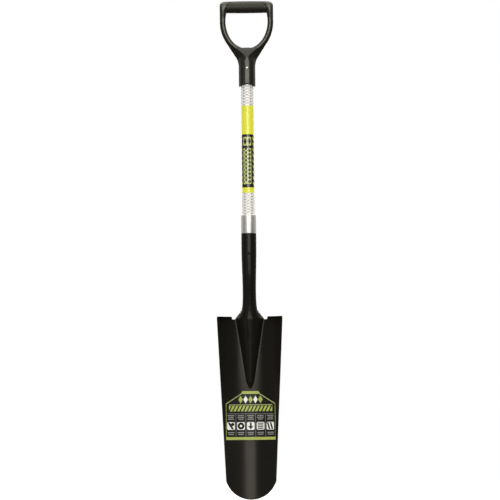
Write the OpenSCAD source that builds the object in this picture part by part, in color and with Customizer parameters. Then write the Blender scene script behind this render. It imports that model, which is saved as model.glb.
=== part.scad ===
// Long-bladed digging spade for post holes and drains: stamped trough blade, straight
// fibreglass shaft and a moulded D-grip.
// Frame: millimetres, tip of the blade at z = 0, +Z up the shaft's axis, the hollow (front)
// face of the blade towards -Y, X across the blade.

/* [Blade] */

// height of the top of the treads above the tip
blade_len = 402; // [380:0.5:430]
// half of the width at the treads
blade_top_hw = 71.9; // [68:0.1:78]
// half of the width where the rounded tip starts
blade_low_hw = 54.8; // [53:0.1:57]
// radius of the rounded tip
tip_r = 57; // [57:0.1:66]
// radius of the trough across the upper blade
trough_r = 118; // [100:1:180]
// radius of the trough's floor towards the tip, where the sides run straighter
floor_r = 50; // [40:1:90]
// slope of the trough's straight sides towards the tip
side_slope = 0.3; // [0.24:0.01:0.36]
// thickness of the steel sheet
sheet_t = 1.9; // [1.4:0.1:2.6]
// angle by which the blade leans forward of the shaft
lift_deg = 4; // [0:0.5:6]
// how far the trough's floor lies behind the shaft's axis at the treads
floor_back = 14; // [10:0.5:16]

/* [Frog] */

// height of the frog's blunt lower end
frog_low_z = 245; // [243:1:270]
// half of the frog's width just below the treads
frog_top_hw = 30.5; // [27:0.5:33]
// how far the frog's blunt end stands out of the trough
frog_end_h = 3.2; // [1:0.1:5]
// half of the frog's width just above its blunt end
frog_low_hw = 9.2; // [7:0.1:11]
// length of the frog's blunt end
frog_end_len = 17; // [10:1:24]
// height above which the frog widens faster, up to the treads
frog_shoulder_z = 375; // [365:1:385]

/* [Treads] */

// distance from the middle of the blade to a tread's inner end
tread_in_x = 39; // [36:0.5:44]
// how far a tread is turned forward of the blade
tread_depth = 15.5; // [10:0.5:20]
// bend radius of a tread, at the middle of the sheet
tread_bend_r = 3; // [2:0.5:3.5]
// depth of the bend-relief notch beside each tread
notch_depth = 4.5; // [4:0.5:8]

/* [Socket] */

// outer radius of the rolled socket and of its collar
socket_r = 16.9; // [16.8:0.1:18]
// outer radius of the socket's neck, above the flare
neck_r = 15; // [14.8:0.1:16]
// top edge of the rolled socket
socket_top_z = 585; // [570:1:610]
// length of the bright steel collar
collar_len = 41; // [30:1:60]
// height of the rivet through the socket
socket_rivet_z = 541; // [531:1:560]

/* [Shaft] */

// radius of the fibreglass shaft
shaft_r = 13.7; // [13:0.1:14]
// radius of the shaft's core
core_r = 9.5; // [6:0.5:11]
// thickness of the tape and of the printed wrap
tape_t = 0.25; // [0.1:0.05:0.35]
// lower end of the printed wrap
wrap_low_z = 675; // [660:0.2:700]
// upper end of the printed wrap
wrap_high_z = 868.6; // [840:0.2:890]

/* [D-grip] */

// lower rim of the grip's ferrule, at the sides
ferrule_low_z = 909.4; // [905:0.2:925]
// outer radius of the ferrule
ferrule_r = 18.6; // [18:0.1:20]
// height of the rivet through the ferrule
grip_rivet_z = 951; // [945:1:960]
// top of the crossbar
grip_top_z = 1103; // [1090:1:1120]
// half of the grip's overall width
grip_hw = 59.3; // [57:0.1:62]
// half of the width of the hand opening
hand_hw = 46.5; // [43:0.5:48]
// bottom of the hand opening
hand_low_z = 998; // [994:1:1004]
// height at which the hand opening is widest
hand_wide_z = 1057.5; // [1050:0.5:1065]
// half of the depth of the arms, front to back
arm_hd = 11.5; // [9:0.5:13]
// half of the depth of the web below the opening
web_hd = 14; // [12:0.5:16]
// radius of the crossbar at its middle
bar_r = 13.6; // [12:0.1:14]
// radius of the crossbar at its ends
bar_end_r = 12.4; // [11:0.1:13]

/* [Label] */

// half of the width of the label on the blade
label_hw = 55; // [40:1:56]
// half of the width of the label's upper edge
label_top_hw = 20.4; // [15:0.1:30]
// lower edge of the label
label_low_z = 130.8; // [110:0.2:140]
// where the label's sides turn in
label_shoulder_z = 210.6; // [200:0.2:216]
// upper edge of the label
label_high_z = 238.4; // [225:0.2:240]

/* [Hidden] */

gap = 0.15; // clearance between neighbouring curved surfaces
rivet_hole_r = 2.4;
rivet_shank_r = 2.3;
rivet_seat = 0.6; // how deep the grip rivet's heads are let into the ferrule
$fn = 96;

notch_z = blade_len - notch_depth;
collar_z = socket_top_z + 0.2;
shaft_top_z = 974;
butt_z = 516; // lower end of the shaft, inside the socket
butt_r = socket_r - sheet_t - 0.3; // radius to which the shaft is built up in the socket
butt_low_r = butt_r - 0.75;
flare_z = 470; // the socket is a closed tube above this height
corner_z = tip_r - sqrt(tip_r * tip_r - blade_low_hw * blade_low_hw); // top of the round tip
frog_slope = 0.152; // half of the frog's widening per mm of height
frog_crest_z = 440; // the frog's crest runs straight up to here, at the neck's front
taper_low_z = 455; // the socket widens from its neck between these heights
taper_high_z = 555;
low_trough_z = 150; // the trough's section changes between these heights
high_trough_z = 300;
neck_bend_z = 500; // below this height the neck bends back towards the blade
neck_lean = 4; // angle that the bend comes to
neck_ease = 25; // height over which the bend comes on

function clamp01(u) = min(1, max(0, u));
function mix(a, b, u) = a + (b - a) * u;
function ramp(a, b, t) = let (u = clamp01((t - a) / (b - a))) u * u * (3 - 2 * u);
function steps(a, b, n) = [for (k = [0 : n]) a + (b - a) * k / n];
function unit(v) = v / norm(v);

// ---------- sheet builder ----------

// A solid sheet over the grid mid[i][j], with normal[i][j] pointing to its front. Cell (i, j)
// lies between rows i, i + 1 and columns j, j + 1, and exists where cells[i][j] is true.
module sheet(mid, normal, cells, t) {
    rows = len(mid);
    cols = len(mid[0]);
    count = rows * cols;
    function has(i, j) = i >= 0 && j >= 0 && i < rows - 1 && j < cols - 1 && cells[i][j];
    function front(i, j) = i * cols + j;
    function back(i, j) = count + i * cols + j;
    function wall(a, b, c, d) = [[a, b, c], [a, c, d]];
    points = concat(
        [for (i = [0 : rows - 1], j = [0 : cols - 1]) mid[i][j] + normal[i][j] * t / 2],
        [for (i = [0 : rows - 1], j = [0 : cols - 1]) mid[i][j] - normal[i][j] * t / 2]
    );
    faces = [for (i = [0 : rows - 2], j = [0 : cols - 2]) if (has(i, j)) each concat(
        wall(front(i, j), front(i + 1, j), front(i + 1, j + 1), front(i, j + 1)),
        wall(back(i, j), back(i, j + 1), back(i + 1, j + 1), back(i + 1, j)),
        has(i - 1, j) ? [] : wall(front(i, j), front(i, j + 1), back(i, j + 1), back(i, j)),
        has(i + 1, j) ? [] : wall(
            front(i + 1, j + 1), front(i + 1, j), back(i + 1, j), back(i + 1, j + 1)),
        has(i, j - 1) ? [] : wall(front(i + 1, j), front(i, j), back(i, j), back(i + 1, j)),
        has(i, j + 1) ? [] : wall(
            front(i, j + 1), front(i + 1, j + 1), back(i + 1, j + 1), back(i, j + 1))
    )];
    polyhedron(points, faces);
}

// Front-facing unit normals of a grid of points.
function grid_normals(p) = let (rows = len(p), cols = len(p[0])) [
    for (i = [0 : rows - 1]) [
        for (j = [0 : cols - 1])
            let (
                up = p[min(rows - 1, i + 1)][j] - p[max(0, i - 1)][j],
                across = p[i][min(cols - 1, j + 1)] - p[i][max(0, j - 1)]
            )
            unit(cross(across, up))
    ]
];

function all_cells(rows, cols) = [for (i = [1 : rows - 1]) [for (j = [1 : cols - 1]) true]];

// ---------- the blade's surface ----------

// Half of the blade's width at height z.
function blade_hw(z) = mix(blade_low_hw, blade_top_hw, (z - corner_z) / (blade_len - corner_z));

// Half of the frog's width where its sides are straight.
function frog_side(z) = frog_low_hw + (z - frog_low_z - frog_end_len) * frog_slope;

// Half of the frog's width: straight sides, widening faster just below the treads, and a
// blunt round end below.
function frog_hw(z) =
    let (
        shoulder = clamp01((z - frog_shoulder_z) / (notch_z - frog_shoulder_z)),
        end = clamp01((z - frog_low_z) / frog_end_len)
    )
    mix(frog_side(min(z, frog_shoulder_z)), frog_top_hw, shoulder) * sqrt(end * (2 - end));

// Depth of the trough's floor at height z.
function floor_y(z) = floor_back - (blade_len - z) * tan(lift_deg);

// How far the trough's sides stand forward of its floor: an arc across the upper blade, turning
// into a tighter floor between straighter sides towards the tip.
function trough_rise(x, z) =
    let (
        arc = trough_r - sqrt(trough_r * trough_r - x * x),
        tight = side_slope * side_slope * floor_r,
        low = sqrt(tight * tight + pow(side_slope * x, 2)) - tight
    )
    mix(low, arc, ramp(low_trough_z, high_trough_z, z));

// The trough without its frog.
function trough_y(x, z) = floor_y(z) - trough_rise(x, z);

// How far the neck has bent back at height z.
function neck_back(z) =
    let (below = max(0, neck_bend_z - z))
    tan(neck_lean) * below * below / (below + neck_ease);

// Line of the frog's crest, from the front of the neck down to its blunt end.
function crest_y(z) =
    mix(floor_y(frog_low_z) - frog_end_h, neck_back(frog_crest_z) + sheet_t / 2 - neck_r,
        (z - frog_low_z) / (frog_crest_z - frog_low_z));

// The trough with the frog pressed forward out of it.
function pressed_y(x, z) =
    let (
        hw = frog_hw(z),
        inside = hw > 0 ? clamp01(1 - (x / hw) * (x / hw)) : 0,
        end = ramp(frog_low_z - 4, frog_low_z + 14, z)
    )
    trough_y(x, z) + (crest_y(z) - trough_y(0, z)) * inside * end;

// Radius of the middle of the sheet in the rolled socket.
function roll_r(z) = mix(neck_r, socket_r, ramp(taper_low_z, taper_high_z, z)) - sheet_t / 2;

// Share by which the sheet is unrolled from the socket's tube into the blade.
function unrolled(z) = pow(clamp01((flare_z - z) / (flare_z - notch_z)), 2);

// The middle strip of the sheet, s running from -1 to 1 across it: a closed tube with its seam
// at the back above the flare, opening out into the frog below.
function strip_point(s, z) =
    let (
        m = unrolled(z),
        r = roll_r(z),
        turn = 180 * s * 0.985,
        x = s * max(frog_hw(z), 5 + 9 * ramp(frog_low_z, frog_low_z - 60, z)),
        tube = [r * sin(turn), neck_back(z) - r * cos(turn)],
        press = [x, pressed_y(x, min(z, notch_z))]
    )
    [mix(tube.x, press.x, m), mix(tube.y, press.y, m), z];

function strip_edge(z) = strip_point(1, z).x;

// Share of the panel's width taken by the notch.
notch_share = (tread_in_x - frog_top_hw) / (blade_hw(notch_z) - frog_top_hw);
panel_shares = concat([0], steps(notch_share, 1, 7));
strip_shares = steps(-1, 1, 24);

// Signed column positions: [side, share]. Side 0 is the middle strip, share from -1 to 1.
columns = concat(
    [for (k = [len(panel_shares) - 1 : -1 : 1]) [-1, panel_shares[k]]],
    [for (s = strip_shares) [0, s]],
    [for (k = [1 : len(panel_shares) - 1]) [1, panel_shares[k]]]
);
first_strip = len(panel_shares) - 1;
last_strip = first_strip + len(strip_shares) - 1;

tip_rows = steps(0, 1, 4);
low_row_z = 70; // from here up, each row of the grid is level
blade_rows = concat(
    [low_row_z, 131, 190, 240, frog_low_z, frog_low_z + 3, frog_low_z + 7],
    steps(frog_low_z + 12, notch_z, 12)
);
socket_rows = concat(
    steps(notch_z + 3, 464, 11), steps(flare_z, taper_high_z, 8), [socket_top_z]
);
tread_turns = steps(0, 90, 4);

function column_x(c, z) =
    c[0] == 0 ? strip_point(c[1], z).x : c[0] * mix(strip_edge(z), blade_hw(z), c[1]);

// A point of the flat part of the sheet, on the panels or on the frog.
function blade_point(c, z) =
    c[0] == 0 ? strip_point(c[1], z) : let (x = column_x(c, z)) [x, trough_y(x, z), z];

// Between the rounded edge of the tip (u = 0) and the first level row (u = 1).
function tip_point(c, u) =
    let (
        x = column_x(c, low_row_z) * mix(blade_low_hw / blade_hw(low_row_z), 1, u),
        edge = tip_r - sqrt(max(0, tip_r * tip_r - x * x)),
        z = mix(edge, low_row_z, u)
    )
    [x, trough_y(x, z), z];

// How far a tread reaches forward at a share of the panel's width, with rounded corners.
function tread_reach(share) =
    let (
        x = mix(frog_top_hw, blade_top_hw, share),
        from_end = min(blade_top_hw - x, x - tread_in_x),
        round = 1 - clamp01(from_end / 7)
    )
    tread_depth - tread_bend_r - 6 * (1 - sqrt(1 - round * round));

// A tread: up past the notch, round the bend, then level and forward.
function tread_point(c, k) =
    let (
        bend_z = blade_len - sheet_t / 2 - tread_bend_r,
        base = blade_point(c, bend_z),
        turn = tread_turns[min(k, len(tread_turns) - 1)],
        out = k < len(tread_turns) ? 0 : tread_reach(c[1])
    )
    base + [0, -tread_bend_r * (1 - cos(turn)) - out, tread_bend_r * sin(turn)];

function tread_normal(c, k) =
    let (
        x = column_x(c, blade_len),
        turn = tread_turns[min(k, len(tread_turns) - 1)],
        slope = -x / sqrt(trough_r * trough_r - x * x)
    )
    unit(cross([1, slope, 0], [0, -sin(turn), cos(turn)]));

low_points = concat(
    [for (u = tip_rows) if (u < 1) [for (c = columns) tip_point(c, u)]],
    [for (z = blade_rows) [for (c = columns) blade_point(c, z)]]
);
upper_count = max(len(socket_rows), len(tread_turns) + 1);
upper_points = [
    for (k = [0 : upper_count - 1]) [
        for (c = columns)
            c[0] == 0
                ? strip_point(c[1], socket_rows[min(k, len(socket_rows) - 1)])
                : tread_point(c, min(k, len(tread_turns)))
    ]
];
blade_points = concat(low_points, upper_points);

// The middle strip and the panels are differenced apart above the notches.
function blade_normals() =
    let (
        plain = grid_normals(blade_points),
        strip = grid_normals([for (row = blade_points) [for (j = [first_strip : last_strip]) row[j]]]),
        low_count = len(low_points)
    )
    [
        for (i = [0 : len(blade_points) - 1]) [
            for (j = [0 : len(columns) - 1])
                i < low_count - 1 ? plain[i][j]
                : columns[j][0] == 0 ? strip[i][j - first_strip]
                : tread_normal(columns[j], max(0, i - low_count))
        ]
    ];

blade_cells = [
    for (i = [0 : len(blade_points) - 2]) [
        for (j = [0 : len(columns) - 2])
            let (
                above = i >= len(low_points) - 1,
                in_strip = j >= first_strip && j < last_strip,
                in_notch = j == first_strip - 1 || j == last_strip
            )
            !above || in_strip || (!in_notch && i < len(low_points) + len(tread_turns))
    ]
];

// ---------- nodes ----------

module blade() {
    color([0.11, 0.11, 0.1])
    difference() {
        sheet(blade_points, blade_normals(), blade_cells, sheet_t);
        translate([0, -socket_r, socket_rivet_z])
            rotate([90, 0, 0]) cylinder(h = 8, r = rivet_hole_r, center = true);
    }
}

// Plate lapped over the back of the frog, from its blunt end up to the socket's seam.
module back_plate() {
    lap = 4;
    lap_top_z = notch_z - 7.5;
    top_z = 450;
    zs = concat([frog_low_z - lap, frog_low_z, frog_low_z + 5],
        steps(frog_low_z + 14, lap_top_z, 5), steps(notch_z, top_z, 7));
    shares = steps(-1, 1, 10);
    function hw(z) = z <= lap_top_z
        ? (frog_hw(z) + lap) * sqrt(ramp(frog_low_z - 9, frog_low_z + 14, z))
        : strip_edge(z) - 0.5;
    function plate_y(x, z) =
        let (edge = strip_point(1, z))
        edge.y + trough_y(x, z) - trough_y(edge.x, z) + sheet_t + gap;
    mid = [for (z = zs) [for (s = shares) let (x = s * hw(z)) [x, plate_y(x, z), z]]];
    color([0.12, 0.12, 0.11])
    sheet(mid, grid_normals(mid), all_cells(len(zs), len(shares)), sheet_t);
}

// Thin film on the trough's floor, with slanted upper corners.
module blade_label() {
    zs = concat(
        steps(label_low_z, label_shoulder_z, 2), steps(label_shoulder_z + 7, label_high_z, 3));
    shares = steps(-1, 1, 16);
    function hw(z) = mix(label_hw, label_top_hw,
        clamp01((z - label_shoulder_z) / (label_high_z - label_shoulder_z)));
    base = [for (z = zs) [for (s = shares) let (x = s * hw(z)) [x, trough_y(x, z), z]]];
    lift = grid_normals(base);
    mid = [for (i = [0 : len(zs) - 1]) [for (j = [0 : len(shares) - 1])
        base[i][j] + lift[i][j] * (sheet_t / 2 + 0.25)]];
    color([0.71, 0.78, 0.27])
    sheet(mid, lift, all_cells(len(zs), len(shares)), 0.2);
}

// Domed head on a shank that runs along Y, from the head's seat at y = 0 back to y = length.
module rivet(length, both_heads) {
    rotate([-90, 0, 0]) {
        cylinder(h = length, r = rivet_shank_r, $fn = 32);
        for (end = both_heads ? [0, 1] : [0])
            translate([0, 0, end * length]) mirror([0, 0, 1 - end])
                intersection() {
                    translate([0, 0, -2]) sphere(r = 3.9, $fn = 48);
                    cylinder(h = 3, r = 4, $fn = 48);
                }
    }
}

// Painted over with the socket, with its shank ending in the far wall of the shaft's butt.
module socket_rivet() {
    color([0.14, 0.14, 0.13])
    translate([0, -socket_r - 0.05, socket_rivet_z])
        rivet(socket_r + butt_r - 0.4, false);
}

module grip_rivet() {
    color([0.8, 0.8, 0.78])
    translate([0, -ferrule_r + rivet_seat, grip_rivet_z])
        rivet(2 * (ferrule_r - rivet_seat), true);
}

// Round sleeve about the shaft's axis, its outer rims cut back by round.
module tube(r_in, r_out, z_low, z_high, round = 0) {
    rotate_extrude()
        polygon([
            [r_in, z_low], [r_out - round, z_low], [r_out, z_low + round],
            [r_out, z_high - round], [r_out - round, z_high], [r_in, z_high]
        ]);
}

module socket_collar() {
    color([0.85, 0.85, 0.84])
    tube(shaft_r, socket_r, collar_z, collar_z + collar_len, 0.4);
}

// Rivet hole across the shaft at height z.
module cross_hole(z) {
    translate([0, 0, z]) rotate([90, 0, 0])
        cylinder(h = 3 * shaft_r, r = rivet_hole_r, center = true, $fn = 32);
}

// Fibreglass tube, built up in the socket to a slightly tapered butt.
module handle_shell() {
    color([0.86, 0.84, 0.7])
    difference() {
        union() {
            tube(core_r, shaft_r, socket_top_z - 1, shaft_top_z, 0.5);
            rotate_extrude()
                polygon([
                    [core_r, butt_z], [butt_low_r, butt_z], [butt_r, taper_high_z],
                    [butt_r, socket_top_z], [core_r, socket_top_z]
                ]);
        }
        for (z = [socket_rivet_z, grip_rivet_z])
            cross_hole(z);
    }
}

module handle_core() {
    color([0.78, 0.66, 0.45])
    difference() {
        translate([0, 0, butt_z + 1])
            cylinder(h = shaft_top_z - butt_z - 2, r = core_r);
        for (z = [socket_rivet_z, grip_rivet_z])
            cross_hole(z);
    }
}

// One turn of tape or printed film round the shaft.
module wrap(z_low, z_high) {
    tube(shaft_r, shaft_r + tape_t, z_low, z_high);
}

module lower_reflective_tape() {
    color([0.82, 0.82, 0.8]) wrap(collar_z + collar_len + 0.1, wrap_low_z - 0.05);
}

module shaft_label() {
    color([0.78, 0.85, 0.2]) wrap(wrap_low_z, wrap_high_z);
}

module upper_reflective_tape() {
    color([0.82, 0.82, 0.8]) wrap(wrap_high_z + 0.05, ferrule_low_z + 11);
}

// One half of the hand opening's outline, a part of an ellipse: from inside the crossbar's
// end (u = 0) down the side and round to the middle of the bottom (u = 1).
function hand_edge(u) =
    let (turn = mix(-28, 90, u))
    [hand_hw * cos(turn), mix(hand_wide_z, hand_low_z, sin(turn))];

// The matching outline of the grip's outside: round the top corner, straight, round a long
// bend, straight down to the ferrule and in to the middle.
function arm_edge(u) =
    let (
        corner_r = 9,
        corner_top_z = grip_top_z - corner_r - 3,
        bend_r = 84,
        bend_deg = 33,
        bend_top_z = 1055.5,
        bend_end = arc_down(bend_r, bend_deg, bend_top_z),
        foot = [ferrule_r - 1, 967.5]
    )
    u < 0.1 ? let (turn = 70 * (1 - u / 0.1))
        [grip_hw - corner_r * (1 - cos(turn)), corner_top_z + corner_r * sin(turn)]
    : u < 0.25 ? [grip_hw, mix(corner_top_z, bend_top_z, (u - 0.1) / 0.15)]
    : u < 0.6 ? arc_down(bend_r, bend_deg * (u - 0.25) / 0.35, bend_top_z)
    : u < 0.85 ? mix(bend_end, foot, (u - 0.6) / 0.25)
    : mix(foot, [0, foot.y - 6], (u - 0.85) / 0.15);

// Point after a turn of the bend that starts down the grip's side at height z.
function arc_down(r, turn, z) = [grip_hw - r * (1 - cos(turn)), z - r * sin(turn)];

// Section of an arm: [share from the opening outwards, share of the depth].
arm_section = [
    [0, -0.45], [0.22, -1], [0.6, -1], [1, -0.5], [1, 0.5], [0.6, 1], [0.22, 1], [0, 0.45]
];

// Both arms and the web below the opening, as one run of sections from the crossbar's right
// end round to its left end.
module grip_arms() {
    half = 24;
    last = 2 * half;
    n = len(arm_section);
    points = [
        for (k = [0 : last], p = arm_section)
            let (
                u = (half - abs(k - half)) / half,
                side = k <= half ? 1 : -1,
                q = mix(hand_edge(u), arm_edge(u), p[0]),
                depth = mix(arm_hd, web_hd, ramp(0.75, 1, u))
            )
            [side * q.x, p[1] * depth, q.y]
    ];
    sides = [
        for (k = [0 : last - 1], i = [0 : n - 1])
            let (
                a = k * n + i,
                b = k * n + (i + 1) % n
            )
            each [[a, b, b + n], [a, b + n, a + n]]
    ];
    first_cap = [for (i = [n - 1 : -1 : 0]) i];
    last_cap = [for (i = [0 : n - 1]) last * n + i];
    polyhedron(points, concat([first_cap, last_cap], sides));
}

// Slightly barrelled bar with rounded ends, along X.
module crossbar() {
    half = grip_hw - 1;
    corner = 8;
    translate([0, 0, grip_top_z - bar_r])
        rotate([0, 90, 0])
            rotate_extrude()
                polygon(concat(
                    [[0, -half]],
                    [for (a = steps(0, 90, 5))
                        [bar_end_r - corner * (1 - sin(a)), -half + corner * (1 - cos(a))]],
                    [for (u = steps(-0.8, 0.8, 8))
                        [mix(bar_r, bar_end_r, u * u), u * (half - corner)]],
                    [for (a = steps(90, 0, 5))
                        [bar_end_r - corner * (1 - sin(a)), half - corner * (1 - cos(a))]],
                    [[0, half]]
                ));
}

// Sleeve over the shaft's end: rounded rim below, arched front and back, and a shoulder above
// that fairs into the web.
module ferrule() {
    rim_r = 3;
    arch_r = 31;
    arch_rise = 6.5;
    shoulder = [[ferrule_r, 970], [ferrule_r - 3, 983], [ferrule_r - 7, 992], [0, 996]];
    difference() {
        rotate_extrude()
            polygon(concat(
                [[0, ferrule_low_z]],
                [for (a = steps(0, 90, 4))
                    [ferrule_r - rim_r * (1 - sin(a)), ferrule_low_z + rim_r * (1 - cos(a))]],
                shoulder
            ));
        translate([0, 0, ferrule_low_z + arch_rise - arch_r])
            rotate([90, 0, 0]) cylinder(h = 3 * ferrule_r, r = arch_r, center = true);
    }
}

module d_grip() {
    color([0.1, 0.1, 0.09])
    difference() {
        union() {
            grip_arms();
            crossbar();
            ferrule();
        }
        translate([0, 0, ferrule_low_z - 1])
            cylinder(h = shaft_top_z + 1.2 - ferrule_low_z, r = shaft_r + 0.05);
        translate([0, 0, ferrule_low_z - 1])
            cylinder(h = 13, r = shaft_r + tape_t + 0.1);
        translate([0, 0, grip_rivet_z]) rotate([90, 0, 0]) {
            cylinder(h = 3 * ferrule_r, r = rivet_hole_r, center = true, $fn = 32);
            for (end = [-1, 1])
                translate([0, 0, end * (ferrule_r - rivet_seat + 2)])
                    cylinder(h = 4, r = 4.1, center = true, $fn = 48);
        }
    }
}

blade();
back_plate();
blade_label();
socket_rivet();
socket_collar();
handle_shell();
handle_core();
lower_reflective_tape();
shaft_label();
upper_reflective_tape();
d_grip();
grip_rivet();
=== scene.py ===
"""Studio scene of a long-bladed digging spade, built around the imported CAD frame.

Shapes are worked out in millimetres in the CAD's own frame and scaled to metres when a mesh is
made: +Z runs up the shaft from the blade's tip, and the hollow face of the blade looks to -Y.
In names, hw and hd are half a width (along X) and half a depth (along Y), r is a radius and t a
thickness.
"""

import itertools
import math

import bmesh
import bpy
import numpy as np
from mathutils import Matrix, Vector


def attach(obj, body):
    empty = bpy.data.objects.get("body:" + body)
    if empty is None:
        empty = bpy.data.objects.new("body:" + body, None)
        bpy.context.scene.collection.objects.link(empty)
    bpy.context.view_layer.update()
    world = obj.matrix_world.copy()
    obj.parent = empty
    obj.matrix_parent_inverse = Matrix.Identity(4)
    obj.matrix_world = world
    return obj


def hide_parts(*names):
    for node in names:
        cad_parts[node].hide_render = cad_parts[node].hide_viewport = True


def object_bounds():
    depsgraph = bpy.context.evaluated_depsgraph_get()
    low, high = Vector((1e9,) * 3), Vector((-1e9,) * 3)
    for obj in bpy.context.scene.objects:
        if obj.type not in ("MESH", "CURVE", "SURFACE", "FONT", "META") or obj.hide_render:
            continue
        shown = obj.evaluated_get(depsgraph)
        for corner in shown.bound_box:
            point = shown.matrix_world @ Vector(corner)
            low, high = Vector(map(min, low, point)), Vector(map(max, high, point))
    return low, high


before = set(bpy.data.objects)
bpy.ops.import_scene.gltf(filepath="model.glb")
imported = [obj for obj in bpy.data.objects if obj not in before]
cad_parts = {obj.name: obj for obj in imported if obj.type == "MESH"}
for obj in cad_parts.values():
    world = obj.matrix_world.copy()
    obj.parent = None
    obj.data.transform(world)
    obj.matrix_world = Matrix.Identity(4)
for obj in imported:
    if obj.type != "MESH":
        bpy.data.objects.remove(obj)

cad_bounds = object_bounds()

MM = 0.001

# -------- shared dimensions, in mm

# blade: a tapering sheet with a round tip, leaning forward below the treads
BLADE_LEN = 402.0
BLADE_TOP_HW = 71.9
BLADE_LOW_HW = 54.8
TIP_R = 57.0
CORNER_Z = TIP_R - math.sqrt(TIP_R**2 - BLADE_LOW_HW**2)
SHEET_T = 1.9
LIFT = math.radians(4)
FLOOR_BACK = 14.0

# trough: straighter sides round a tight floor below, one wide arc above
FLOOR_R = 50.0
SIDE_SLOPE = 0.3
TROUGH_R = 118.0
LOW_TROUGH_Z = 150.0
HIGH_TROUGH_Z = 300.0

# treads, with a shallow notch between each one and the frog
TREAD_IN_X = 39.0
TREAD_DEPTH = 15.5
TREAD_BEND_R = 3.0
TREAD_CORNER_W = 7.0
TREAD_CORNER_D = 6.0
NOTCH_Z = BLADE_LEN - 4.5
NOTCH_DIP = 0.9

# frog: the ridge pressed forward out of the trough, up to the socket
FROG_LOW_Z = 245.0
FROG_LOW_HW = 9.2
FROG_TOP_HW = 30.5
FROG_SLOPE = 0.152
FROG_SHOULDER_Z = 375.0
FROG_END_LEN = 17.0
FROG_END_H = 3.2
FROG_CREST_Z = 440.0
FROG_FOOT = 0.07

# socket: the same sheet, rolled into a tube round the handle's butt
SOCKET_R = 16.9
SOCKET_TOP_Z = 585.0
NECK_R = 15.0
NECK_BEND_Z = 500.0
NECK_LEAN = math.radians(4)
NECK_EASE = 25.0
FLARE_Z = 470.0
TAPER_LOW_Z = 455.0
TAPER_HIGH_Z = 555.0
SEAM_SHARE = 0.985
SOCKET_RIVET_Z = 541.0

# shaft and its films
SHAFT_R = 13.7
TAPE_T = 0.25
WRAP_HALF = math.pi * (SHAFT_R + TAPE_T)
WRAP_LOW_Z = 675.0
WRAP_HIGH_Z = 868.6
COLLAR_LOW_Z = SOCKET_TOP_Z + 0.2
COLLAR_HIGH_Z = SOCKET_TOP_Z + 41.2

# grip, whose other sizes stand with its shape
FERRULE_LOW_Z = 909.4
FERRULE_R = 18.6
GRIP_RIVET_Z = 951.0
GRIP_TOP_Z = 1102.95
GRIP_HW = 59.3
BAR_R = 13.6


# -------- small maths

def mix(a, b, u):
    return a + (b - a) * u


def clamp01(u):
    return np.clip(u, 0.0, 1.0)


def ramp(a, b, t):
    """A smooth step from 0 at a to 1 at b."""
    u = clamp01((t - a) / (b - a))
    return u * u * (3 - 2 * u)


def smooth_min(a, b, k):
    """The smaller value, blended where the two are less than k apart."""
    h = np.maximum(k - np.abs(a - b), 0.0) / k
    return np.minimum(a, b) - h * h * k / 4


def smooth_max(a, b, k):
    return -smooth_min(-a, -b, k)


# -------- mesh makers

def add_object(name, verts_mm, faces, nodes, materials, face_materials=None):
    """A mesh piece that rides on the root body and stands for the given CAD nodes."""
    mesh = bpy.data.meshes.new(name)
    verts = (np.asarray(verts_mm, float) * MM).tolist()
    mesh.from_pydata(verts, [], [list(map(int, face)) for face in faces])
    for material in materials:
        mesh.materials.append(material)
    if face_materials is not None:
        mesh.polygons.foreach_set("material_index", face_materials)
    mesh.validate()
    mesh.update()
    piece = bpy.data.objects.new(name, mesh)
    bpy.context.scene.collection.objects.link(piece)
    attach(piece, "root")
    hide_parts(*nodes)
    return piece


def smooth_shade(piece, angle_deg):
    """Smooth shading with creases sharper than the angle kept."""
    mesh = piece.data
    mesh.polygons.foreach_set("use_smooth", [True] * len(mesh.polygons))
    mesh.set_sharp_from_angle(angle=math.radians(angle_deg))


def round_edges(piece, width_mm, segments, angle_deg):
    """Rounds the edges that turn by more than the angle."""
    bevel = piece.modifiers.new("rounded_edges", "BEVEL")
    bevel.width = width_mm * MM
    bevel.segments = segments
    bevel.limit_method = "ANGLE"
    bevel.angle_limit = math.radians(angle_deg)
    bevel.harden_normals = False


def grid_normals(points):
    """Unit normals of a grid of points, facing the front of the sheet."""
    up = np.gradient(points, axis=0)
    across = np.gradient(points, axis=1)
    normal = np.cross(across, up)
    length = np.linalg.norm(normal, axis=2, keepdims=True)
    return normal / np.maximum(length, 1e-12)


def sheet_mesh(mid, normal, cells, thickness):
    """Vertices and faces of a solid sheet over a grid; cell (i, j) exists where cells is true."""
    rows, cols = mid.shape[:2]
    count = rows * cols
    verts = np.concatenate([
        (mid + normal * thickness / 2).reshape(-1, 3),
        (mid - normal * thickness / 2).reshape(-1, 3),
    ])
    padded = np.zeros((rows + 1, cols + 1), bool)
    padded[1:rows, 1:cols] = cells
    faces = []
    for i, j in np.argwhere(cells):
        a, b = i * cols + j, i * cols + j + 1
        c, d = a + cols, b + cols
        faces.append((a, b, d, c))
        faces.append((a + count, c + count, d + count, b + count))
        for beside, p, q in ((padded[i, j + 1], a, b), (padded[i + 2, j + 1], d, c),
                             (padded[i + 1, j], c, a), (padded[i + 1, j + 2], b, d)):
            if not beside:
                faces.append((p, p + count, q + count, q))
    faces = np.array(faces)
    used = np.unique(faces)
    place = np.zeros(len(verts), int)
    place[used] = np.arange(len(used))
    return verts[used], place[faces]


def lathe_mesh(profile, segments, place, closed):
    """Vertices and faces of a profile of (radius, along) points turned about its axis, where
    place(across, up, along) gives a point's place."""
    turns = np.linspace(0, 2 * math.pi, segments, endpoint=False)
    n = len(profile)
    verts = [place(r * math.cos(turn), r * math.sin(turn), along)
             for turn in turns for r, along in profile]
    faces = []
    for here in range(segments):
        after = (here + 1) % segments
        for k in range(n if closed else n - 1):
            up = (k + 1) % n
            faces.append((here * n + k, after * n + k, after * n + up, here * n + up))
    return verts, faces


# -------- node materials

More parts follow.
